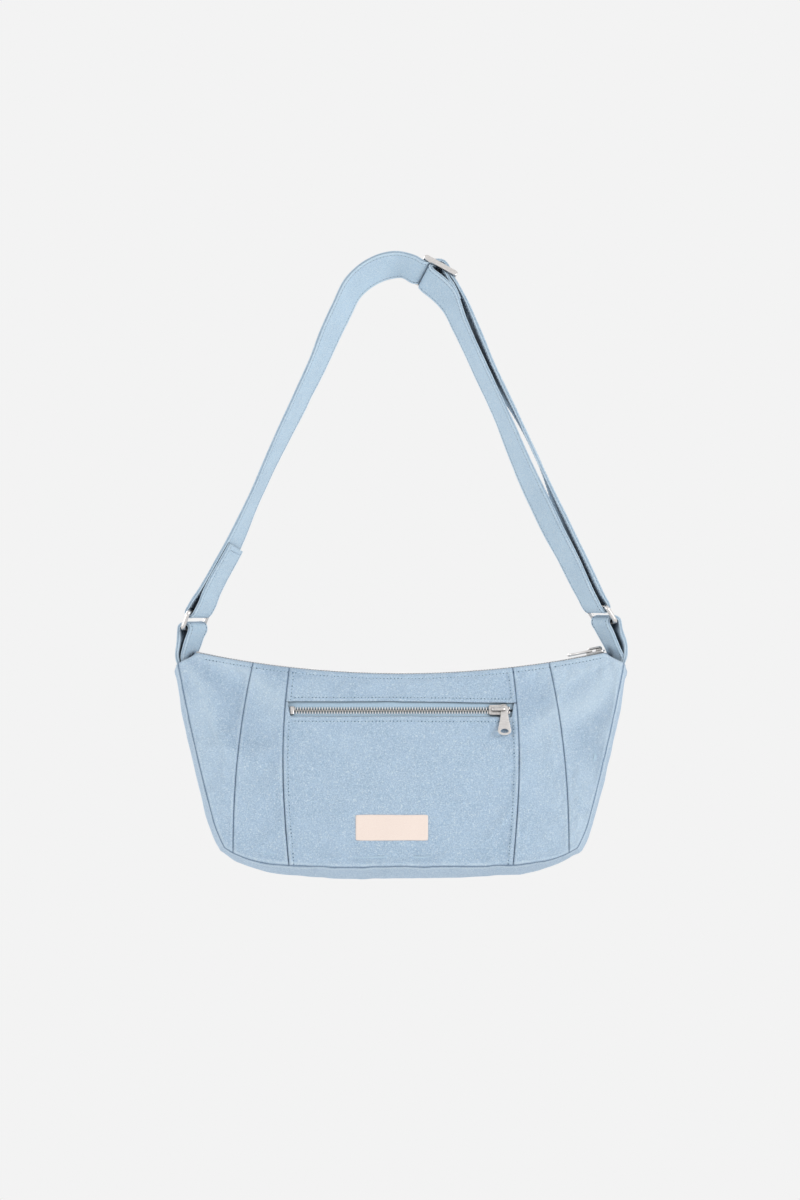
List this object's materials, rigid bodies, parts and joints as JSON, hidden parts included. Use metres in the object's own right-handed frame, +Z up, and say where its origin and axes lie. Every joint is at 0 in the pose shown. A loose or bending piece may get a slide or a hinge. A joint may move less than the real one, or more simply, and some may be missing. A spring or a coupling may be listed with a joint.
{
  "type": "trapeze shoulder bag",
  "caption": "Soft zipped shoulder bag with a trapezoid front, a zipped front pocket and an adjustable strap on rings.",
  "frame": {"origin": "middle of the strap at its top, where a hook or a shoulder carries it", "axes": "+Z up, front of the bag faces -Y, +X to the right seen from the front"},
  "size_m": [0.3984, 0.096, 0.5514],
  "materials": {
    "canvas": "washed cotton canvas, matte",
    "strap_canvas": "folded washed canvas, matte",
    "tape": "woven tape, matte",
    "label_cloth": "bare satin label",
    "metal": "pale nickel, satin"
  },
  "bodies": {
    "strap_body": {"strap_left_loop": "strap_canvas", "strap_left_fold": "strap_canvas", "strap_main_run": "strap_canvas", "strap_outer_run": "strap_canvas", "strap_right_loop": "strap_canvas", "strap_inner_run": "strap_canvas", "strap_end_loop": "strap_canvas", "slide_buckle": "metal", "left_tab": "strap_canvas", "right_tab": "strap_canvas"},
    "bag_body": {"front_side_left": "canvas", "front_inner_left": "canvas", "front_top_strip": "canvas", "front_pocket_panel": "canvas", "front_inner_right": "canvas", "front_side_right": "canvas", "back_side_left": "canvas", "back_centre": "canvas", "back_side_right": "canvas", "gusset_left": "canvas", "gusset_base": "canvas", "gusset_right": "canvas", "front_seam_binding": "tape", "back_seam_binding": "tape", "main_tape_front": "tape", "main_tape_back": "tape", "main_teeth_front": "metal", "main_teeth_back": "metal", "main_zip_stops": "metal", "pocket_tape_upper": "tape", "pocket_tape_lower": "tape", "pocket_teeth_upper": "metal", "pocket_teeth_lower": "metal", "pocket_zip_stops": "metal", "pocket_pouch": "tape", "label": "label_cloth"},
    "left_ring_body": {"left_ring": "metal"},
    "right_ring_body": {"right_ring": "metal"},
    "main_slider_body": {"main_slider": "metal"},
    "main_pull_body": {"main_pull": "metal"},
    "pocket_slider_body": {"pocket_slider": "metal"},
    "pocket_pull_body": {"pocket_pull": "metal"}
  },
  "joints": [
    {"name": "bag_swing", "type": "hinge", "parent": "strap_body", "child": "bag_body", "pos_m": [0, 0, -0.335], "axis": [1, 0, 0], "range_deg": [-35, 35]},
    {"name": "left_ring_turn", "type": "hinge", "parent": "strap_body", "child": "left_ring_body", "pos_m": [-0.17834, 0, -0.30644], "axis": [0.3907, 0.9205, 0], "range_deg": [-4, 4]},
    {"name": "right_ring_turn", "type": "hinge", "parent": "strap_body", "child": "right_ring_body", "pos_m": [0.17238, 0, -0.30226], "axis": [-0.3907, 0.9205, 0], "range_deg": [-4, 4]},
    {"name": "main_zip_run", "type": "hinge", "parent": "bag_body", "child": "main_slider_body", "pos_m": [0, 0, 0.50511], "axis": [0, 1, 0], "range_deg": [0, 21.5]},
    {"name": "main_pull_lift", "type": "hinge", "parent": "main_slider_body", "child": "main_pull_body", "pos_m": [0.16753, 0, -0.34047], "axis": [0, 1, 0], "range_deg": [0, 80]},
    {"name": "pocket_zip_run", "type": "slide", "parent": "bag_body", "child": "pocket_slider_body", "axis": [-1, 0, 0], "range_m": [0, 0.1709]},
    {"name": "pocket_pull_swing", "type": "hinge", "parent": "pocket_slider_body", "child": "pocket_pull_body", "pos_m": [0.0907, -0.02679, -0.39191], "axis": [0, -0.9569, 0.2906], "range_deg": [-50, 80]}
  ]
}
